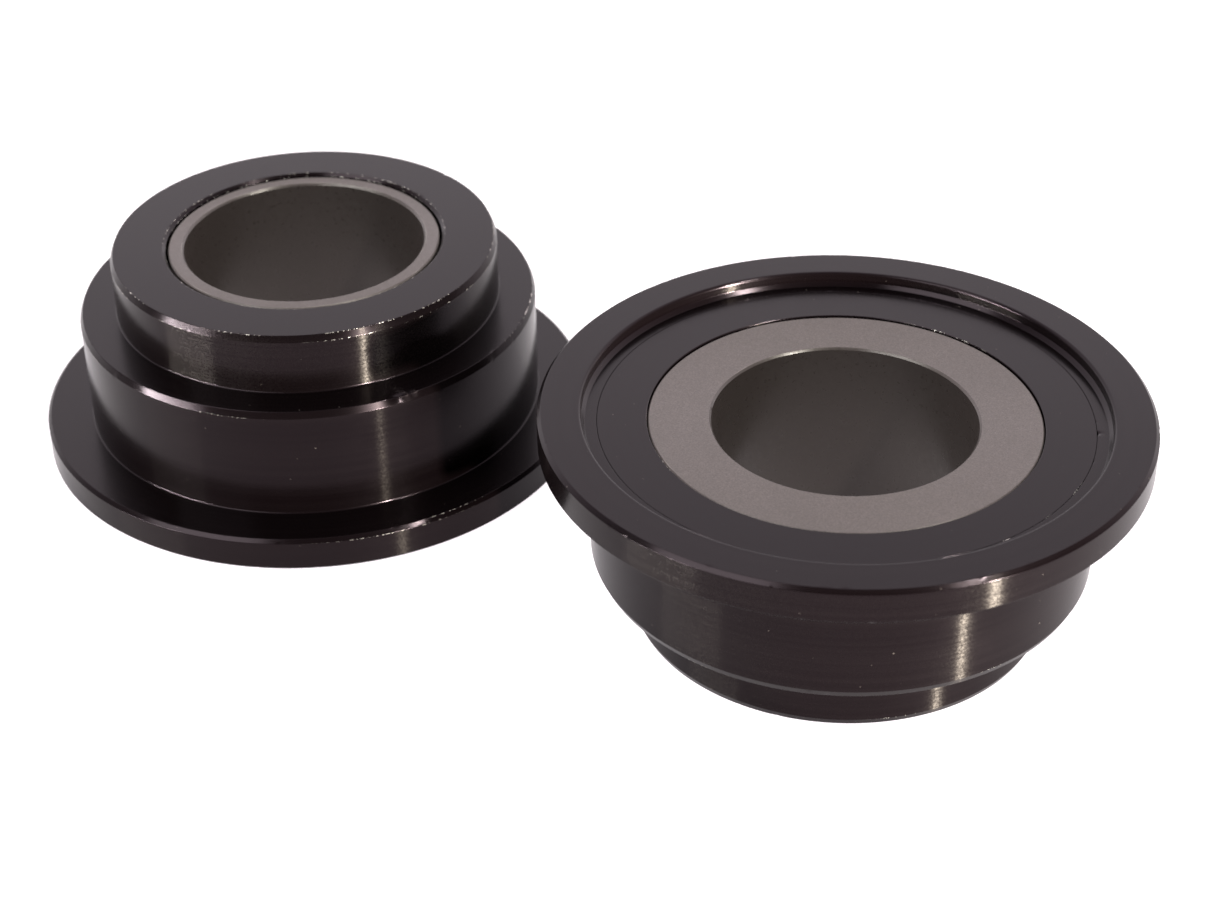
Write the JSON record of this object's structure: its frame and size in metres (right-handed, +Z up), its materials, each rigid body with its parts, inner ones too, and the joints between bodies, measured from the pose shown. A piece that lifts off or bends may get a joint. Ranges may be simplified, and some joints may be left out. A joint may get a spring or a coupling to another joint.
{
  "type": "bottom bracket",
  "caption": "Pair of press-fit bottom bracket units, each a stepped flanged cup with a sealed ball bearing and a flanged sleeve that turns with the crank spindle.",
  "frame": {"origin": "on the left unit's axis, in the plane where its flange meets the frame's shell", "axes": "+Z up and along both units' axes, +X from the left unit's axis to the right unit's axis"},
  "size_m": [0.116, 0.0552, 0.021],
  "materials": {
    "black_anodised": "black anodised, fine turned satin",
    "black_cover": "black anodised, fine turned satin",
    "grey_sleeve": "matte fine-blasted warm grey",
    "race_steel": "ground bearing steel",
    "ball_steel": "polished bearing steel",
    "cage_plastic": "moulded natural nylon",
    "seal_rubber": "moulded black rubber"
  },
  "bodies": {
    "left_cup_body": {"left_cup": "black_anodised", "left_dust_cover": "black_cover", "left_bearing_outer_race": "race_steel", "left_outboard_seal": "seal_rubber", "left_inboard_seal": "seal_rubber"},
    "left_sleeve_body": {"left_spindle_sleeve": "grey_sleeve", "left_bearing_inner_race": "race_steel"},
    "left_ball_set": {"left_bearing_balls": "ball_steel", "left_bearing_cage": "cage_plastic"},
    "right_cup_body": {"right_cup": "black_anodised", "right_dust_cover": "black_cover", "right_bearing_outer_race": "race_steel", "right_outboard_seal": "seal_rubber", "right_inboard_seal": "seal_rubber"},
    "right_sleeve_body": {"right_spindle_sleeve": "grey_sleeve", "right_bearing_inner_race": "race_steel"},
    "right_ball_set": {"right_bearing_balls": "ball_steel", "right_bearing_cage": "cage_plastic"}
  },
  "joints": [
    {"name": "right_unit_slide", "type": "slide", "parent": "left_cup_body", "child": "right_cup_body", "axis": [-0.7177, 0, 0.6964], "range_m": [0, 0.08458]},
    {"name": "left_sleeve_spin", "type": "hinge", "parent": "left_cup_body", "child": "left_sleeve_body", "pos_m": [0, 0, 0], "axis": [0, 0, 1], "continuous": true},
    {"name": "left_ball_orbit", "type": "hinge", "parent": "left_cup_body", "child": "left_ball_set", "pos_m": [0, 0, 0], "axis": [0, 0, 1], "continuous": true},
    {"name": "right_sleeve_spin", "type": "hinge", "parent": "right_cup_body", "child": "right_sleeve_body", "pos_m": [0.0607, 0, 0.0141], "axis": [0, 0, 1], "continuous": true},
    {"name": "right_ball_orbit", "type": "hinge", "parent": "right_cup_body", "child": "right_ball_set", "pos_m": [0.0607, 0, 0.0141], "axis": [0, 0, 1], "continuous": true}
  ],
  "couplings": [
    {"joint": "left_ball_orbit", "follows": "left_sleeve_spin", "ratio": 0.4504},
    {"joint": "right_ball_orbit", "follows": "right_sleeve_spin", "ratio": 0.4504}
  ]
}
